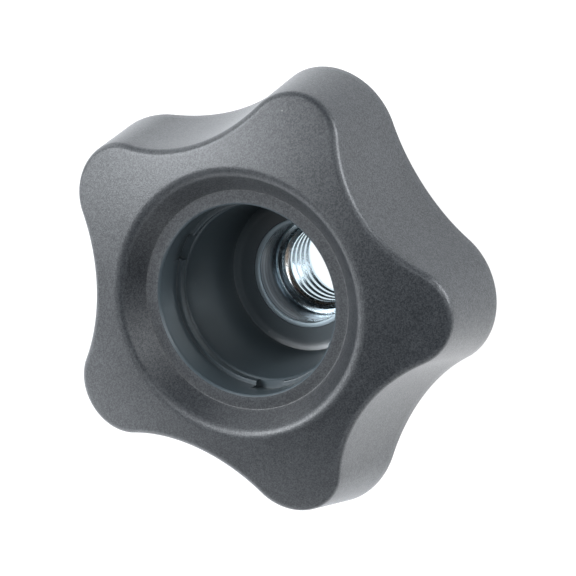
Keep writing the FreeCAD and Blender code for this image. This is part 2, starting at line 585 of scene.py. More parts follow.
class Effects:
    """The shared surface effects. Sizes in their inputs are millimetres."""

    def __init__(self) -> None:
        """Build every group once."""
        self.grain = self.spark_grain()
        self.clouds = self.soft_clouds()
        self.wear = self.worn_edges()
        self.turning = self.turned_marks()
        self.drag = self.drag_lines()
        self.dust = self.dust_specks()

    @staticmethod
    def spark_grain() -> Effect:
        """Fine pitted grain, as a spark-eroded mould leaves it, and a different fleck for each pit.

        Returns:
            The group.
        """
        pits_in_swell, swell_share, pit_share = 1.4, 0.7, 0.3
        effect = Effect("spark_grain", Size=0.3)
        scale = 1.0 / (effect.given("Size") * MM)
        place = effect.place()
        swell = effect.noise(place, scale, detail=2.0, rough=0.6)
        cells = effect.node("ShaderNodeTexVoronoi", Vector=place, Scale=scale * pits_in_swell)
        pits = Number(effect.tree, cells.outputs["Distance"])
        fleck, _, _ = effect.split(cells.outputs["Color"])
        effect.give(Height=swell * swell_share + pits * pit_share, Fleck=fleck)
        return effect

    @staticmethod
    def soft_clouds() -> Effect:
        """Broad, faint patches of shade and gloss.

        Returns:
            The group.
        """
        effect = Effect("soft_clouds", Size=12.0)
        place = effect.place()
        scale = 1.0 / (effect.given("Size") * MM)
        effect.give(Shade=effect.noise(place, scale, detail=3.0, rough=0.55))
        return effect

    @staticmethod
    def worn_edges() -> Effect:
        """Masks of the outer edges that handling polishes and of the creases that hold dust.

        Returns:
            The group.
        """
        contrast, gap = 2.2, 0.5
        effect = Effect("worn_edges", Full_Bend=1.0, Patch_Size=1.5)
        bend = effect.tree.nodes.new("ShaderNodeAttribute")
        bend.attribute_name = BEND
        share = Number(effect.tree, bend.outputs["Fac"]) / effect.given("Full Bend")
        place = effect.place()
        scale = 1.0 / (effect.given("Patch Size") * MM)
        patch = effect.noise(place, scale, detail=3.0, rough=0.6)
        broken = held(patch * contrast - gap)
        effect.give(Edge=held(share) * broken, Crease=held(-share) * broken)
        return effect

    @staticmethod
    def turned_marks() -> Effect:
        """Fine rings that a cutting tool leaves about the axis.

        Returns:
            The group.
        """
        wander, coarse_wander, coarse_scale = 60.0, 40.0, 0.22
        ring_share, coarse_share = 0.7, 0.3
        effect = Effect("turned_marks", Pitch=0.12)
        x, y, z = effect.split(effect.place())
        radius = worked("SQRT", x * x + y * y)
        across = (radius + z) / (effect.given("Pitch") * MM)
        fine_place = effect.vector(across, x * wander, y * wander)
        rings = effect.noise(fine_place, scale=1.0, detail=3.0, rough=0.65)
        coarse_place = effect.vector(across * coarse_scale, x * coarse_wander, y * coarse_wander)
        coarse = effect.noise(coarse_place, scale=1.0, detail=2.0)
        effect.give(Height=rings * ring_share + coarse * coarse_share, Streak=coarse)
        return effect

    @staticmethod
    def drag_lines() -> Effect:
        """Faint upright lines that the core drew as it left the moulding.

        Returns:
            The group.
        """
        upright = 0.03
        effect = Effect("drag_lines", Spacing=0.5)
        x, y, z = effect.split(effect.place())
        scale = 1.0 / (effect.given("Spacing") * MM)
        effect.give(Height=effect.noise(effect.vector(x, y, z * upright), scale, detail=2.0, rough=0.6))
        return effect

    @staticmethod
    def dust_specks() -> Effect:
        """A few tiny specks of lint and dust.

        Returns:
            The group.
        """
        effect = Effect("dust_specks", Spacing=3.0, Size=0.12, Share=0.4)
        scale = 1.0 / (effect.given("Spacing") * MM)
        cells = effect.node("ShaderNodeTexVoronoi", Vector=effect.place(), Scale=scale)
        distance = Number(effect.tree, cells.outputs["Distance"])
        away = distance * effect.given("Spacing") / effect.given("Size")
        pick, size, _ = effect.split(cells.outputs["Color"])
        shown = worked("LESS_THAN", pick, effect.given("Share"))
        effect.give(Mask=held(1.0 + size - away) * shown)
        return effect


class Dressing(Sketch):
    """A material's own tree, round its shader."""

    def __init__(self, name: str) -> None:
        """Start a material with a plain shader.

        Args:
            name: the material's name.
        """
        self.material = bpy.data.materials.new(name)
        self.material.use_nodes = True
        super().__init__(self.material.node_tree)
        self.shader = self.tree.nodes["Principled BSDF"]

    def set(self, **values: object) -> None:
        """Feed the shader's sockets, named with spaces as underscores."""
        for name, value in values.items():
            self.wire(painted(value), self.shader.inputs[name.replace("_", " ")])

    def use(self, effect: Effect, output: str, **inputs: float) -> Number:
        """Place a shared effect with this material's own values.

        Args:
            effect: the shared group.
            output: which of its outputs is wanted.
            inputs: its inputs with spaces as underscores.

        Returns:
            The output as a number.
        """
        node = self.tree.nodes.new("ShaderNodeGroup")
        node.node_tree = effect.tree
        for name, value in inputs.items():
            node.inputs[name.replace("_", " ")].default_value = value
        return Number(self.tree, node.outputs[output])

    def bumped(self, *layers: tuple[Number, float]) -> Socket:
        """Stack bumps on one another.

        Args:
            layers: heights from 0 to 1, each with its depth in millimetres.

        Returns:
            The bent normal.
        """
        normal: Socket | None = None
        for height, depth in layers:
            bump = self.node("ShaderNodeBump", Height=height, Distance=depth * MM, Strength=1.0)
            if normal is not None:
                self.wire(normal, bump.inputs["Normal"])
            normal = bump.outputs["Normal"]
        return normal


@dataclass(frozen=True)
class Plastic:
    """Dark blue-grey moulded plastic, grained or smooth. Sizes and depths are millimetres.

    The grain's flecks differ a little in shade and gloss, and more in how clearly they mirror the
    lights, which is what makes the surface sparkle. Clouds, worn edges and dust lie over that.
    """

    name: str
    color: Color = (0.0058, 0.0072, 0.0090)
    worn_color: Color = (0.075, 0.080, 0.086)
    dust_color: Color = (0.22, 0.21, 0.20)
    roughness: float = 0.42
    specular: float = 0.36
    gloss_limits: tuple[float, float] = (0.05, 0.9)
    grain_size: float = 0.27
    grain_depth: float = 0.030
    grain_gloss: float = 0.12
    grain_middle: float = 0.45
    paleness: float = 0.08
    fleck_shade: float = 0.16
    fleck_gloss: float = 0.06
    glint: float = 0.39
    glint_middle: float = 0.4
    drag_depth: float = 0.0
    drag_spacing: float = 0.4
    cloud_size: float = 12.0
    cloud_shade: float = 0.25
    cloud_gloss: float = 0.08
    wear: float = 0.15
    wear_polish: float = 0.05
    dust: float = 0.35
    crease_dust: float = 0.3
    dust_dullness: float = 0.4

    def material(self, effects: Effects) -> Material:
        """Build the material.

        Args:
            effects: the shared surface effects.

        Returns:
            The material.
        """
        look = Dressing(self.name)
        grain = look.use(effects.grain, "Height", Size=self.grain_size)
        fleck = look.use(effects.grain, "Fleck", Size=self.grain_size) - 0.5
        cloud = look.use(effects.clouds, "Shade", Size=self.cloud_size) - 0.5
        edge = look.use(effects.wear, "Edge", Full_Bend=1.0, Patch_Size=1.2)
        crease = look.use(effects.wear, "Crease", Full_Bend=0.8, Patch_Size=0.7)
        specks = look.use(effects.dust, "Mask", Spacing=3.4, Size=0.09, Share=0.25)
        drag = look.use(effects.drag, "Height", Spacing=self.drag_spacing)
        paler = held(self.paleness + cloud * self.cloud_shade + fleck * self.fleck_shade + edge * self.wear)
        dusty = held((crease * self.crease_dust + specks) * self.dust)
        clean = look.blend(paler, self.color, self.worn_color)
        dusted = look.blend(dusty, clean, self.dust_color)
        rough = (self.roughness + cloud * self.cloud_gloss + (grain - self.grain_middle) * self.grain_gloss
                 + fleck * self.fleck_gloss - edge * self.wear_polish + dusty * self.dust_dullness)
        look.set(Base_Color=dusted, Roughness=held(rough, *self.gloss_limits),
                 Coat_Weight=held(self.glint * (self.glint_middle + fleck)), Coat_Roughness=self.roughness,
                 Specular_IOR_Level=self.specular,
                 Normal=look.bumped((grain, self.grain_depth), (drag, self.drag_depth)))
        return look.material


@dataclass(frozen=True)
class Steel:
    """Turned steel with a thin blue-white zinc plating. Sizes, depths and heights are millimetres.

    The open socket is painted darker, a painted shade and dark reflection standing in for the recess.
    A tan stain runs round the thread's first turn, and the bush's rim is kept out of that painted shade but
    is duller.
    """

    name: str
    color: Color = (0.66, 0.78, 0.84)
    dull_color: Color = (0.40, 0.47, 0.51)
    tan_color: Color = (0.72, 0.46, 0.28)
    # Painted shade: the near-black colour the open socket is blended towards, in place of the recess's shade
    # and dark reflections.
    socket_shade_color: Color = (0.020, 0.028, 0.037)
    roughness: float = 0.25
    gloss_limits: tuple[float, float] = (0.05, 0.8)
    ring_pitch: float = 0.12
    ring_depth: float = 0.004
    streak_dullness: float = 0.9
    streak_gap: float = 0.25
    streak_gloss: float = 0.22
    cloud_gloss: float = 0.12
    crease_dullness: float = 0.5
    crease_gloss: float = 0.12
    speck_dullness: float = 0.6
    speck_gloss: float = 0.2
    tan_height: float = 9.7
    tan_reach: float = 0.45
    tan_strength: float = 0.7
    tan_contrast: float = 3.0
    tan_gap: float = 0.6
    socket_height: float = 10.8
    socket_fade: float = 0.4
    socket_shade: float = 0.75
    socket_shade_streak: float = 0.5
    rim_height: float = 17.9
    rim_shade_lift: float = 0.5
    rim_dullness: float = 0.3

    def material(self, effects: Effects) -> Material:
        """Build the material.

        Args:
            effects: the shared surface effects.

        Returns:
            The material.
        """
        look = Dressing(self.name)
        rings = look.use(effects.turning, "Height", Pitch=self.ring_pitch)
        streak = look.use(effects.turning, "Streak", Pitch=self.ring_pitch)
        cloud = look.use(effects.clouds, "Shade", Size=2.5)
        crease = look.use(effects.wear, "Crease", Full_Bend=1.5, Patch_Size=0.8)
        specks = look.use(effects.dust, "Mask", Spacing=1.4, Size=0.10, Share=0.3)
        _, _, z = look.split(look.node("ShaderNodeTexCoord").outputs["Object"])
        near = held(1.0 - worked("ABSOLUTE", z / MM - self.tan_height) / self.tan_reach)
        stain = near * held(cloud * self.tan_contrast - self.tan_gap)
        dull = held(streak * self.streak_dullness - self.streak_gap + crease * self.crease_dullness
                    + specks * self.speck_dullness)
        # Painted shade: above socket_height the socket is blended towards the near-black socket colour, less
        # so on the rim.
        deep = held((z / MM - self.socket_height) / self.socket_fade)
        rim = worked("GREATER_THAN", z / MM, self.rim_height)
        painted_socket_shade = held(deep * (self.socket_shade + streak * self.socket_shade_streak) - rim * self.rim_shade_lift)
        plated = look.blend(painted_socket_shade, look.blend(dull, self.color, self.dull_color), self.socket_shade_color)
        stained = look.blend(stain * self.tan_strength, plated, self.tan_color)
        rough = (self.roughness + (streak - 0.5) * self.streak_gloss + (cloud - 0.5) * self.cloud_gloss
                 + crease * self.crease_gloss + specks * self.speck_gloss + rim * self.rim_dullness)
        look.set(Base_Color=stained, Metallic=1.0, Roughness=held(rough, *self.gloss_limits),
                 Normal=look.bumped((rings, self.ring_depth)))
        return look.material


@dataclass(frozen=True)
class StarGrip:
    """The five-lobed grip: underside, drafted side wall and domed face.

    Tip and valley heights say where the underside and the face meet the wall. The rows are the
    cells along each stretch of the surface, from the hub's root to the rim of the cap seat.
    """

    lobes: int = 5
    first_lobe: float = 90.0
    tip_radius: float = 40.0
    valley_radius: float = 30.7
    lobe_radius: float = 11.4
    draft: float = math.radians(9.5)
    back_at_tip: float = 27.8
    back_at_valley: float = 24.2
    face_at_tip: float = 42.3
    face_at_valley: float = 44.85
    face_round: float = 1.4
    back_round: float = 0.25
    columns: int = 96
    under_rows: int = 6
    back_rows: int = 3
    wall_rows: int = 10
    face_rows: int = 9
    dome_rows: int = 10
    settling: int = 4

    def growth(self, z: float) -> float:
        """How far the drafted wall lies outside its outline at a height."""
        return (self.back_at_tip - z) * math.tan(self.draft)

    @property
    def dome_centre(self) -> float:
        """Height of the centre of the face's sphere.

        Returns:
            The height in millimetres.
        """
        ra, za = self.valley_radius + self.growth(self.face_at_valley), self.face_at_valley
        rb, zb = self.tip_radius + self.growth(self.face_at_tip), self.face_at_tip
        return (rb ** 2 + zb ** 2 - ra ** 2 - za ** 2) / (2.0 * (zb - za))

    @property
    def dome_radius(self) -> float:
        """Radius of the face's sphere."""
        r = self.tip_radius + self.growth(self.face_at_tip)
        return math.hypot(r, self.face_at_tip - self.dome_centre)

    @property
    def under_slope(self) -> float:
        """Rise of the underside cone for each millimetre outwards."""
        inner = self.valley_radius + self.growth(self.back_at_valley)
        return (self.back_at_tip - self.back_at_valley) / (self.tip_radius - inner)

    def under(self, r: float) -> Point:
        """Point of the underside cone."""
        return r, self.back_at_tip + (r - self.tip_radius) * self.under_slope

    @property
    def hollow_radius(self) -> float:
        """Radius of the hollow arc that touches both neighbouring lobes.

        Returns:
            The radius.
        """
        half = math.pi / self.lobes
        lobe_c = self.tip_radius - self.lobe_radius
        top = self.lobe_radius ** 2 - lobe_c ** 2 - self.valley_radius ** 2
        top += 2.0 * lobe_c * self.valley_radius * math.cos(half)
        return top / (2.0 * (self.valley_radius - lobe_c * math.cos(half) - self.lobe_radius))

    @property
    def meeting_angle(self) -> float:
        """Angle from a lobe's middle at which its arc meets the hollow arc.

        Returns:
            The angle in radians.
        """
        half = math.pi / self.lobes
        lobe_c = self.tip_radius - self.lobe_radius
        hollow_c = self.valley_radius + self.hollow_radius
        share = self.lobe_radius / (self.lobe_radius + self.hollow_radius)
        x = lobe_c + (hollow_c * math.cos(half) - lobe_c) * share
        return math.atan2(hollow_c * math.sin(half) * share, x)

    def mesh(self, root: Point, rim: Point, material: Material) -> Mesh:
        """Build the grip between the hub's root and the rim of the cap seat.

        Args:
            root: where the hub's root fillet ends on the underside.
            rim: where the seat's rim fillet begins on the face.
            material: the outer finish.

        Returns:
            The grip's open shell.
        """
        recipe = Recipe("star_lobe")
        rows = self.under_rows + self.back_rows + self.wall_rows + self.face_rows + self.dome_rows
        geometry, share, row = recipe.grid(self.columns, rows)
        half = recipe.number("Half Step", math.pi / self.lobes)
        tip = recipe.number("Tip Radius", self.tip_radius)
        lobe = recipe.number("Lobe Radius", self.lobe_radius)
        valley = recipe.number("Valley Radius", self.valley_radius)
        hollow = recipe.number("Hollow Radius", self.hollow_radius)
        meeting = recipe.number("Meeting Angle", self.meeting_angle)
        draft = recipe.number("Draft", self.draft)
        back_z = recipe.number("Back Height", self.back_at_tip)
        slope = recipe.number("Underside Slope", self.under_slope)
        centre = recipe.number("Dome Centre", self.dome_centre)
        sphere = recipe.number("Dome Radius", self.dome_radius)
        face_round = recipe.number("Face Round", self.face_round)
        back_round = recipe.number("Back Round", self.back_round)
        root_r = recipe.number("Root Radius", root[0])
        rim_r = recipe.number("Rim Radius", rim[0])

        angle = (share - 0.5) * 2.0 * half
        turn = worked("ABSOLUTE", angle)
        cosine, sine = worked("COSINE", turn), worked("SINE", turn)
        lobe_c, hollow_c = tip - lobe, valley + hollow
        rest = half - turn
        on_lobe = worked("LESS_THAN", turn, meeting)
        lobe_r = lobe_c * cosine + worked("SQRT", lobe * lobe - lobe_c * sine * lobe_c * sine)
        offset = hollow_c * worked("SINE", rest)
        hollow_r = hollow_c * worked("COSINE", rest) - worked("SQRT", hollow * hollow - offset * offset)
        r = chosen(on_lobe, lobe_r, hollow_r)
        px, py = r * cosine, r * sine
        nx = chosen(on_lobe, (px - lobe_c) / lobe, (hollow_c * worked("COSINE", half) - px) / hollow)
        ny = chosen(on_lobe, py / lobe, (hollow_c * worked("SINE", half) - py) / hollow)

        lean_sin, lean_cos = worked("SINE", draft), worked("COSINE", draft)
        lean_tan = lean_sin / lean_cos
        outward: Triple = (nx * lean_cos, ny * lean_cos, lean_sin)
        upward: Triple = (-(nx * lean_sin), -(ny * lean_sin), lean_cos)

        foot: Triple = (px - outward[0] * face_round, py - outward[1] * face_round,
                        back_z - outward[2] * face_round - centre)
        reach = sphere - face_round
        lean = dot(foot, upward)
        travel = worked("SQRT", lean * lean - dot(foot, foot) + reach * reach) - lean
        ball = along(foot, upward, travel)
        inward: Triple = tuple(part / reach for part in ball)
        heart: Triple = (ball[0], ball[1], ball[2] + centre)

        down_cos = 1.0 / worked("SQRT", slope * slope + 1.0)
        down_sin = slope * down_cos
        z: Value = back_z
        for _ in range(self.settling):
            grown = (back_z - z) * lean_tan - lean_cos * back_round
            cx, cy = px + nx * grown, py + ny * grown
            cr = worked("SQRT", cx * cx + cy * cy)
            z = back_z + (cr - tip) * slope + back_round / down_cos + lean_sin * back_round
        back_ball: Triple = (cx, cy, z - lean_sin * back_round)
        downward: Triple = (down_sin * cx / cr, down_sin * cy / cr, -down_cos)

        def stage(first: int, length: int) -> Number:
            """Share of the way through the rows of one stage."""
            return held((row - float(first)) / float(length))

        marks = [self.under_rows]
        for length in (self.back_rows, self.wall_rows, self.face_rows):
            marks.append(marks[-1] + length)
        back_foot = along(back_ball, downward, back_round)
        wall_low, wall_high = along(back_ball, outward, back_round), along(heart, outward, face_round)
        dome_start = along(heart, inward, face_round)
        way = stage(0, self.under_rows)
        ux, uy = (a + (b - a) * way for a, b in zip((root_r * cosine, root_r * sine), back_foot))
        under: Triple = (ux, uy, back_z + (worked("SQRT", ux * ux + uy * uy) - tip) * slope)
        back = along(back_ball, swung(downward, outward, stage(marks[0], self.back_rows)), back_round)
        wall = mixed(wall_low, wall_high, stage(marks[1], self.wall_rows))
        edge = along(heart, swung(outward, inward, stage(marks[2], self.face_rows)), face_round)
        way = stage(marks[3], self.dome_rows)
        dx, dy = (a + (b - a) * way for a, b in zip(dome_start, (rim_r * cosine, rim_r * sine)))
        dome: Triple = (dx, dy, centre + worked("SQRT", sphere * sphere - dx * dx - dy * dy))

        place = dome
        for mark, stretch in zip(reversed(marks), (edge, wall, back, under)):
            test = worked("LESS_THAN", row, mark + 0.5)
            place = tuple(chosen(test, a, b) for a, b in zip(stretch, place))
        side = worked("SIGN", angle)
        recipe.finished(recipe.placed(geometry, (place[0], place[1] * side, place[2])), material)
        lobe_mesh = recipe.run("lobe")
        return repeated(lobe_mesh, self.lobes, self.first_lobe, material)


@dataclass(frozen=True)
class CapSeat:
    """The sunken seat round the mouth, from the face's rim to the mouth's edge."""

    ring_height: float = RING_HEIGHT
    ring_radius: float = 19.05
    slope: float = math.radians(44.0)
    rim_round: float = 2.3
    rim_steps: int = 12
    foot_round: float = 0.2
    foot_steps: int = 5
    mouth_radius: float = MOUTH_RADIUS
    spacing: float = 0.8

    def rim_arc(self, grip: StarGrip) -> tuple[Point, Point, Point]:
        """Find the arc between the face's sphere and the sloped seat.

        Args:
            grip: the grip whose face is cut.

        Returns:
            The arc's centre, its end on the face and its end on the slope, as (r, z).
        """
        ahead = Vector((math.cos(self.slope), math.sin(self.slope)))
        across = Vector((math.sin(self.slope), -math.cos(self.slope)))
        start = Vector((self.ring_radius, self.ring_height - grip.dome_centre)) + across * self.rim_round
        reach = grip.dome_radius - self.rim_round
        lean = start.dot(ahead)
        middle = start + ahead * (math.sqrt(lean * lean - start.dot(start) + reach * reach) - lean)
        foot = middle - across * self.rim_round
        head = middle * grip.dome_radius / reach
        lift = grip.dome_centre
        return (middle.x, middle.y + lift), (head.x, head.y + lift), (foot.x, foot.y + lift)

    def mesh(self, grip: StarGrip, material: Material, columns: int) -> Mesh:
        """Build the seat's ring of surface.

        Args:
            grip: the grip it is sunk in.
            material: the outer finish.
            columns: cells round the whole seat.

        Returns:
            The welded ring.
        """
        centre, head, foot = self.rim_arc(grip)
        first, last = (math.atan2(p[1] - centre[1], p[0] - centre[0]) for p in (head, foot))
        turns = [first + (last - first) * k / self.rim_steps for k in range(self.rim_steps)]
        arc = [(centre[0] + self.rim_round * math.cos(a), centre[1] + self.rim_round * math.sin(a))
               for a in turns]
        corners = [Corner(*foot),
                   Corner(self.ring_radius, self.ring_height, self.foot_round, self.foot_steps),
                   Corner(self.mouth_radius, self.ring_height)]
        path = arc + rounded(corners, self.spacing)
        sector = turned("seat_sector", path, 360.0 / grip.lobes, columns // grip.lobes)
        return repeated(sector, grip.lobes, grip.first_lobe, material)


class Section(Enum):
    """Where a column of the bore's wall runs."""

    PLAIN = "plain"
    NOTCHED = "notched"


class Outline(Enum):
    """How a ring of points goes round the axis."""

    ROUND = "round"
    TOOTHED = "toothed"


@dataclass(frozen=True)
class CapBore:
    """The stepped bore, with the ledge that holds the cap and its relief notches.

    The floor rises to its corner in a shallow dish, an arc of dish_radius through dish_turn.
    Below notch_top the notches slope outwards, by notch_reach at the land under the ledge.
    """

    mouth_radius: float = MOUTH_RADIUS
    top: float = RING_HEIGHT
    lip_width: float = 0.06
    lip_drop: float = 0.05
    lead_in: float = 0.32
    lead_round: float = 0.15
    wall_radius: float = 16.55
    ledge_z: float = 36.05
    ledge_radius: float = 15.8
    ledge_round: float = 0.12
    land_z: float = 34.55
    step_radius: float = 15.5
    step_z: float = 34.25
    step_round: float = 0.25
    floor_radius: float = 14.0
    floor_z: float = 18.3
    dish_radius: float = 4.5
    dish_turn: float = math.radians(23.0)
    rim_radius: float = BUSH_RADIUS
    rim_z: float = BUSH_TOP
    notches: int = 3
    notch_width: float = 18.0
    notch_turn: float = 10.4
    notch_top: float = 38.2
    notch_reach: float = 0.6
    steps: int = 8
    ledge_steps: int = 9

    def path(self, section: Section) -> list[Point]:
        """Follow the bore's wall from the mouth down to the bush's rim.

        Args:
            section: whether the path runs through a relief notch.

        Returns:
            Points (r, z), as many with the notch as without it.
        """
        wall, reach, steps = self.wall_radius, self.notch_reach, self.steps
        shares = [k / steps for k in range(1, steps + 1)]
        upper = rounded([Corner(self.mouth_radius, self.top),
                         Corner(self.mouth_radius - self.lip_width, self.top - self.lip_drop),
                         Corner(wall, self.top - self.lead_in, self.lead_round),
                         Corner(wall, self.notch_top)], spacing=1.2)
        if section is Section.NOTCHED:
            low = self.notch_top - self.land_z
            middle = [(wall + reach * share, self.notch_top - low * share) for share in shares]
            inwards = self.ledge_radius - wall - reach
            count = self.ledge_steps
            middle += [(wall + reach + inwards * k / count, self.land_z) for k in range(1, count + 1)]
        else:
            drop = self.notch_top - self.ledge_z
            middle = [(wall, self.notch_top - drop * share) for share in shares]
            ledge = rounded([Corner(wall, self.ledge_z),
                             Corner(self.ledge_radius, self.ledge_z, self.ledge_round),
                             Corner(self.ledge_radius, self.land_z)], spacing=0.6)
            middle += ledge[1:]
        start, radius = self.floor_radius - self.dish_radius * math.sin(self.dish_turn), self.dish_radius
        turns = [self.dish_turn * k / steps for k in range(steps, -1, -1)]
        dish = [(start + radius * math.sin(t), self.floor_z + radius * (1.0 - math.cos(t))) for t in turns]
        lower = rounded([Corner(self.ledge_radius, self.land_z),
                         Corner(self.step_radius, self.step_z, self.step_round),
                         Corner(*dish[0])], spacing=1.5)
        ground = divided([dish[-1], (self.rim_radius, self.rim_z)], spacing=1.0)
        return upper + middle + lower[1:] + dish[1:] + ground[1:]

    def mesh(self, first_lobe: float, columns: int, material: Material) -> Mesh:
        """Build the bore.

        Args:
            first_lobe: turn of the lobe that the notches are set out from, in degrees.
            columns: cells round the whole bore.
            material: the inner finish.

        Returns:
            The welded bore.
        """
        span = 360.0 / self.notches
        step = 360.0 / columns
        low = first_lobe + self.notch_turn - self.notch_width / 2.0
        high = low + self.notch_width
        start = first_lobe - round(span / 2.0 / step) * step
        plain, cut = self.path(Section.PLAIN), self.path(Section.NOTCHED)
        bars: list[list[Vector]] = []
        for k in range(round(span / step) + 1):
            angle = start + k * step
            edge = next((side for side in (low, high) if abs(angle - side) <= step / 2.0), None)
            inside = low < angle < high
            if edge is None:
                bars.append(self.bar(cut if inside else plain, angle, angle))
            else:
                pair = (plain, cut) if edge == low else (cut, plain)
                bars += [self.bar(path, angle, edge) for path in pair]
        return repeated(sheet_mesh("bore_sector", bars), self.notches, 0.0, material)

    def bar(self, path: Sequence[Point], mouth_angle: float, angle: float) -> list[Vector]:
        """Place one column, whose ends stay at the angle of the neighbouring rings."""
        last = len(path) - 1
        return [around(r, mouth_angle if k in (0, last) else angle, z) for k, (r, z) in enumerate(path)]


@dataclass(frozen=True)
class Knurl:
    """The straight teeth by which the bush is held against turning."""

    teeth: int = 24
    radius: float = 11.2
    depth: float = 0.6

    def at(self, degrees: float) -> float:
        """Distance from the axis to the toothed outline at an angle.

        Args:
            degrees: the angle about the axis.

        Returns:
            The distance in millimetres.
        """
        half = 180.0 / self.teeth
        place = (degrees / half) % 2.0
        a, b = self.radius, self.radius - self.depth
        if place >= 1.0:
            a, b = b, a
        share = math.radians((place % 1.0) * half)
        whole = math.radians(half)
        return a * b * math.sin(whole) / (a * math.sin(share) + b * math.sin(whole - share))


@dataclass(frozen=True)
class Ring:
    """A ring of points about the axis, round or toothed."""

    r: float
    z: float
    outline: Outline = Outline.ROUND

    def at(self, degrees: float, knurl: Knurl) -> Vector:
        """Place the ring's point at an angle."""
        radius = knurl.at(degrees) if self.outline is Outline.TOOTHED else self.r
        return around(radius, degrees, self.z)


def toothed(z: float) -> Ring:
    """Give a ring that follows the knurl at a height."""
    return Ring(0.0, z, Outline.TOOTHED)


def ring_stack(name: str, rings: Sequence[Ring], knurl: Knurl, columns: int,
               material: Material) -> Mesh:
    """Join rings into one closed shell about the axis, tooth by tooth.

    Args:
        name: the mesh's name.
        rings: the rings in order.
        knurl: the teeth that toothed rings follow.
        columns: cells round the whole shell.
        material: the shell's finish.

    Returns:
        The welded shell.
    """
    sweep = 360.0 / knurl.teeth
    count = columns // knurl.teeth
    bars = [[ring.at(sweep * k / count, knurl) for ring in rings] for k in range(count + 1)]
    return repeated(sheet_mesh(name, bars), knurl.teeth, 0.0, material)


@dataclass(frozen=True)
class Hub:
    """The round hub, its end face, and the bed in which the bush is moulded."""

    radius: float = 15.0
    root_round: float = 3.0
    end_chamfer: float = 0.6
    root_steps: int = 10
    rim_radius: float = BUSH_RADIUS
    rim_z: float = BUSH_TOP
    band_top: float = 9.5
    groove_radius: float = 10.2
    groove_low: float = 3.55
    groove_high: float = 5.95
    foot_radius: float = 12.6

    def root(self, grip: StarGrip) -> list[Point]:
        """Follow the hub's side and its root fillet up to the underside.

        Args:
            grip: the grip it carries.

        Returns:
            Points (r, z) from the hub's end to the end of the fillet.
        """
        beyond = self.radius + 2.0 * self.root_round
        corners = [Corner(self.radius - self.end_chamfer, 0.0), Corner(self.radius, self.end_chamfer),
                   Corner(*grip.under(self.radius), self.root_round, self.root_steps),
                   Corner(*grip.under(beyond))]
        limit = self.root_end(grip)[0]
        return [point for point in rounded(corners) if point[0] <= limit + SLACK]

    def root_end(self, grip: StarGrip) -> Point:
        """Find where the root fillet ends on the underside.

        Args:
            grip: the grip it carries.

        Returns:
            The point (r, z).
        """
        lean = math.atan(grip.under_slope)
        reach = self.root_round / math.tan((math.pi / 2.0 + lean) / 2.0)
        return grip.under(self.radius + reach * math.cos(lean))

    def mesh(self, grip: StarGrip, knurl: Knurl, columns: int, material: Material) -> Mesh:
        """Build the hub from the bush's rim down its bed and up its side.

        Args:
            grip: the grip it carries.
            knurl: the teeth of the bush's bands.
            columns: cells round the whole hub.
            material: the outer finish.

        Returns:
            The welded hub.
        """
        bed = [Ring(self.rim_radius, self.rim_z), Ring(self.rim_radius, self.band_top),
               toothed(self.band_top), toothed(self.groove_high), Ring(self.groove_radius, self.groove_high),
               Ring(self.groove_radius, self.groove_low), toothed(self.groove_low), toothed(0.0)]
        side = [Ring(r, z) for r, z in [(self.foot_radius, 0.0)] + self.root(grip)]
        return ring_stack("hub_sector", bed + side, knurl, columns, material)


@dataclass(frozen=True)
class KnobBody:
    """The moulded knob: grip, cap seat, bore and hub in one."""

    grip: StarGrip = StarGrip()
    seat: CapSeat = CapSeat()
    bore: CapBore = CapBore()
    hub: Hub = Hub()
    knurl: Knurl = Knurl()
    outside: Plastic = Plastic("moulded_matt")
    # The bore's plastic is smoother and glossier, and its colour is set far paler than the outer plastic's,
    # which paints light into the shaded bore.
    inside: Plastic = Plastic("moulded_smooth_painted_fill", color=(0.036, 0.049, 0.056), roughness=0.33, specular=0.38,
                              grain_size=0.9, grain_depth=0.003, grain_gloss=0.04, paleness=0.12,
                              fleck_shade=0.0, fleck_gloss=0.0, glint=0.0, drag_depth=0.003,
                              cloud_size=7.0, wear=0.12)
    sharp: float = 32.0

    def build(self, effects: Effects) -> bpy.types.Object:
        """Build the body and set it on the frame.

        Args:
            effects: the shared surface effects.

        Returns:
            The finished piece.
        """
        matt, smooth = self.outside.material(effects), self.inside.material(effects)
        columns = self.grip.columns * self.grip.lobes
        rim = self.seat.rim_arc(self.grip)[1]
        root = self.hub.root_end(self.grip)
        parts = [self.grip.mesh(root, rim, matt),
                 self.seat.mesh(self.grip, matt, columns),
                 self.bore.mesh(self.grip.first_lobe, columns, smooth),
                 self.hub.mesh(self.grip, self.knurl, columns, matt)]
        piece = united("moulded_knob", parts, self.sharp)
        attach(piece, "root")
        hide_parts("knob_body")
        return piece


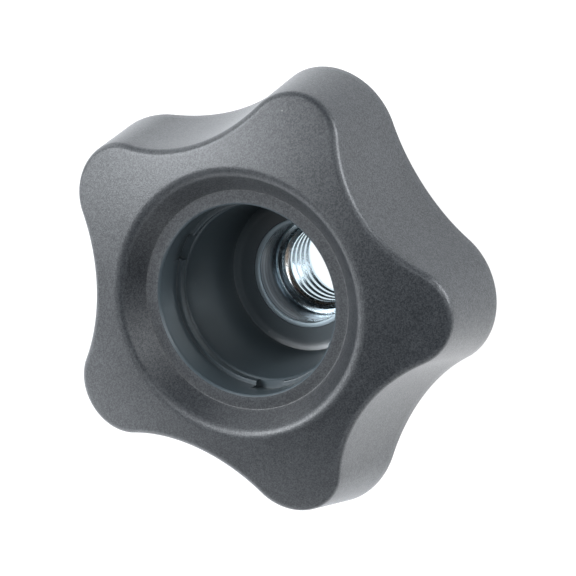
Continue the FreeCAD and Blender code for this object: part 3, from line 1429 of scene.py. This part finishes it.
@dataclass(frozen=True)
class ThreadedBush:
    """The steel bush: knurled bands, open socket and a metric thread."""

    minor_radius: float = 7.0
    root_radius: float = 7.95
    pitch: float = 2.0
    crest: float = 0.8
    first_turn: float = 127.5
    entry_radius: float = 8.2
    entry_z: float = 10.5
    exit_radius: float = 7.95
    exit_depth: float = 0.55
    socket_radius: float = 9.1
    socket_round: float = 0.15
    rim_radius: float = BUSH_RADIUS
    rim_z: float = BUSH_TOP
    rim_break: float = 0.12
    round_steps: int = 3
    foot_radius: float = 9.4
    burr: float = 0.06
    burr_reach: float = 2.2
    burr_size: float = 0.35
    burr_start: float = 0.1
    flank_slope: float = math.sqrt(3.0)
    turns_below: float = 64.0
    columns: int = 240
    rows_per_turn: int = 24
    sharp: float = 40.0
    hub: Hub = Hub()
    knurl: Knurl = Knurl()
    finish: Steel = Steel("zinc_plated_steel")

    def thread(self, material: Material) -> Mesh:
        """Cut the thread along its helix between the two countersinks, with a torn first turn.

        Args:
            material: the bush's finish.

        Returns:
            The thread's open shell.
        """
        recipe = Recipe("thread")
        turns = self.entry_z / self.pitch + 1.0
        rows = round(turns * self.rows_per_turn)
        geometry, share, row = recipe.grid(self.columns, rows)
        pitch = recipe.number("Pitch", self.pitch)
        minor = recipe.number("Minor Radius", self.minor_radius)
        major = recipe.number("Root Radius", self.root_radius)
        crest = recipe.number("Crest Width", self.crest)
        start = recipe.number("First Angle", math.radians(self.first_turn))
        top = recipe.number("Entry Height", self.entry_z)
        entry = recipe.number("Entry Radius", self.entry_radius)
        opening = recipe.number("Exit Radius", self.exit_radius)
        sink = recipe.number("Exit Depth", self.exit_depth)
        burr = recipe.number("Burr Height", self.burr)
        reach = recipe.number("Burr Reach", self.burr_reach)
        grain = recipe.number("Burr Size", self.burr_size)
        turn = top / pitch - row / float(self.rows_per_turn)
        z = held((turn + share) * pitch, 0.0, top)
        offset = worked("ABSOLUTE", worked("FRACT", turn + self.turns_below) - 0.5) * pitch
        r = minor + (offset - crest / 2.0) * self.flank_slope
        r = held(r, minor, major)
        r = worked("MAXIMUM", r, entry - (top - z))
        r = worked("MAXIMUM", r, opening - z * (opening - minor) / sink)
        angle = start + share * TURN
        cosine, sine = worked("COSINE", angle), worked("SINE", angle)
        torn = recipe.noise(recipe.vector(cosine * minor, sine * minor, z), 1.0 / grain, detail=3.0) - 0.5
        fading = held(1.0 - (top - z) / reach) * held((top - z) / (self.burr_start * reach))
        r = r + torn * fading * burr * 2.0
        place = (r * cosine, r * sine, z)
        recipe.finished(recipe.placed(geometry, place), material)
        return recipe.run("thread")

    def outside(self, material: Material) -> Mesh:
        """Build everything but the thread, from the exit round to the entry.

        Args:
            material: the bush's finish.

        Returns:
            The open shell.
        """
        hub = self.hub
        band = [Ring(self.exit_radius, 0.0), Ring(self.foot_radius, 0.0), toothed(0.0),
                toothed(hub.groove_low), Ring(hub.groove_radius, hub.groove_low),
                Ring(hub.groove_radius, hub.groove_high), toothed(hub.groove_high), toothed(hub.band_top)]
        neck = rounded([Corner(self.rim_radius, hub.band_top),
                        Corner(self.rim_radius, self.rim_z, self.rim_break, self.round_steps),
                        Corner(self.socket_radius, self.rim_z, self.rim_break, self.round_steps),
                        Corner(self.socket_radius, self.entry_z, self.socket_round, self.round_steps),
                        Corner(self.entry_radius, self.entry_z)], spacing=1.5)
        rings = band + [Ring(r, z) for r, z in neck]
        return ring_stack("bush_sector", rings, self.knurl, self.columns, material)

    def build(self, effects: Effects) -> bpy.types.Object:
        """Build the bush and set it on the frame.

        Args:
            effects: the shared surface effects.

        Returns:
            The finished piece.
        """
        steel = self.finish.material(effects)
        piece = united("steel_bush", [self.outside(steel), self.thread(steel)], self.sharp)
        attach(piece, "root")
        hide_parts("threaded_bush")
        return piece


@dataclass(frozen=True)
class SoftLight:
    """A square soft box aimed at the knob."""

    name: str
    azimuth: float
    elevation: float
    power: float
    size: float = 0.34
    color: Color = (0.92, 0.957, 1.0)
    distance: float = 0.8

    def build(self, target: Vector) -> None:
        """Hang the light.

        Args:
            target: the place it points at.
        """
        data = bpy.data.lights.new(self.name, "AREA")
        data.size = self.size
        data.energy = self.power
        data.color = self.color
        lamp = bpy.data.objects.new(self.name, data)
        a, e = math.radians(self.azimuth), math.radians(self.elevation)
        way = Vector((math.cos(e) * math.cos(a), math.cos(e) * math.sin(a), math.sin(e)))
        lamp.location = target + way * self.distance
        lamp.rotation_euler = way.to_track_quat("Z", "Y").to_euler()
        lamp.visible_camera = False
        bpy.context.scene.collection.objects.link(lamp)


@dataclass(frozen=True)
class Studio:
    """Pale floor, soft light and the camera at the photograph's angle.

    To the camera the floor is an even near-white with faint shadows. To the knob it glows by the
    amounts in glow_round, in even steps round the axis from the -X side by way of -Y, +X and +Y.
    The glow fades under the grip between the two radii of hub_shade. The floor within hole_radius
    glows too, which is the daylight in the bush.
    """

    camera_place: tuple[float, float, float] = (0.19525, -0.09875, 0.44106)
    camera_turn: tuple[float, float, float] = (-12.6575, 24.9911, -54.53)
    lens: float = 167.215
    sensor: float = 36.0
    clip_start: float = 0.01
    aim: tuple[float, float, float] = (0.0, 0.0, 0.03)
    floor_half: float = 3.0
    floor_color: Color = (0.9, 0.9, 0.9)
    floor_roughness: float = 0.9
    seen_color: Color = (0.2, 0.2, 0.2)
    seen_glow: float = 0.85
    hub_shade: tuple[float, float] = (12.0, 30.0)
    hole_radius: float = 8.0
    hole_share: float = 1.0
    glow_round: tuple[float, ...] = (0.3, 0.3, 1.58, 0.5, 0.0, 0.0, 0.0, 0.3, 0.3)
    air_color: Color = (1.0, 1.0, 1.0)
    air_seen: float = 1.0
    air_light: float = 0.0
    lights: tuple[SoftLight, ...] = (
        SoftLight("key_box", 90.0, 50.0, 3.5),
        SoftLight("key_spot", 105.0, 50.0, 4.8, 0.16),
        SoftLight("key_spot_high", 90.0, 62.0, 1.14, 0.16),
        SoftLight("low_back", 90.0, 6.0, 2.0),
        SoftLight("back_left_box", 120.0, 28.0, 2.95),
        SoftLight("low_left", 150.0, 6.0, 1.64),
        SoftLight("left_box", 160.0, 28.0, 1.5),
        SoftLight("low_front_left", 180.0, 6.0, 1.62),
        SoftLight("front_left_box", 200.0, 28.0, 1.65),
        SoftLight("front_box", 240.0, 28.0, 1.35),
        SoftLight("right_box", 330.0, 50.0, 2.6),
        SoftLight("low_right", 330.0, 6.0, 11.0),
        SoftLight("back_right_box", 60.0, 28.0, 1.5),
        SoftLight("ceiling", 150.0, 72.0, 0.61),
    )

    def camera(self) -> None:
        """Set up the camera."""
        data = bpy.data.cameras.new("camera")
        data.lens = self.lens
        data.sensor_width = self.sensor
        data.clip_start = self.clip_start
        camera = bpy.data.objects.new("camera", data)
        camera.location = self.camera_place
        camera.rotation_euler = Euler([math.radians(a) for a in self.camera_turn], "XYZ")
        bpy.context.scene.collection.objects.link(camera)
        bpy.context.scene.camera = camera

    def air(self) -> None:
        """Fill the room with white, which lights the knob less than it shows."""
        world = bpy.data.worlds.new("studio_air")
        world.use_nodes = True
        sketch = Sketch(world.node_tree)
        background = world.node_tree.nodes["Background"]
        seen = sketch.output("ShaderNodeLightPath", "Is Camera Ray")
        sketch.wire(painted(self.air_color), background.inputs["Color"])
        sketch.wire(chosen(seen, self.air_seen, self.air_light), background.inputs["Strength"])
        bpy.context.scene.world = world

    def floor(self) -> None:
        """Lay the floor, which looks even but lights the knob more from some sides than from others."""
        half = self.floor_half
        mesh = bpy.data.meshes.new("floor")
        corners = [(-half, -half, 0.0), (half, -half, 0.0), (half, half, 0.0), (-half, half, 0.0)]
        mesh.from_pydata(corners, [], [(0, 1, 2, 3)])
        floor = bpy.data.objects.new("floor", mesh)
        bpy.context.scene.collection.objects.link(floor)
        look = Dressing("pale_floor")
        x, y, _ = look.split(look.node("ShaderNodeTexCoord").outputs["Object"])
        low, high = (radius * MM for radius in self.hub_shade)
        radius = worked("SQRT", x * x + y * y)
        open_floor = held((radius - low) / (high - low))
        through = worked("LESS_THAN", radius, self.hole_radius * MM) * self.hole_share
        top = max(self.glow_round)
        ramp = look.node("ShaderNodeValToRGB", Fac=worked("ARCTAN2", y, x) / TURN + 0.5)
        stops = ramp.color_ramp.elements
        last = len(self.glow_round) - 1
        for _ in range(last - 1):
            stops.new(0.5)
        for k, glow in enumerate(self.glow_round):
            stops[k].position = k / last
            stops[k].color = (glow / top, glow / top, glow / top, 1.0)
        given = worked("MAXIMUM", open_floor * Number(look.tree, ramp.outputs["Color"]) * top, through)
        seen = look.output("ShaderNodeLightPath", "Is Camera Ray")
        shown = worked("MAXIMUM", through, self.seen_glow)
        look.set(Base_Color=look.blend(seen, self.floor_color, self.seen_color),
                 Roughness=self.floor_roughness, Emission_Color=self.air_color,
                 Emission_Strength=chosen(seen, shown, given))
        mesh.materials.append(look.material)

    def build(self) -> None:
        """Set up the whole studio."""
        bpy.context.scene.view_settings.view_transform = "Standard"
        self.camera()
        self.air()
        self.floor()
        for light in self.lights:
            light.build(Vector(self.aim))


def main() -> None:
    """Build every piece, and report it."""
    logging.basicConfig(level=logging.INFO, format="%(name)s: %(message)s")
    effects = Effects()
    for maker in (KnobBody(), ThreadedBush()):
        piece = maker.build(effects)
        LOG.info("%s: %d faces on body root", piece.name, len(piece.data.polygons))
    Studio().build()


if __name__ == "__main__":
    main()
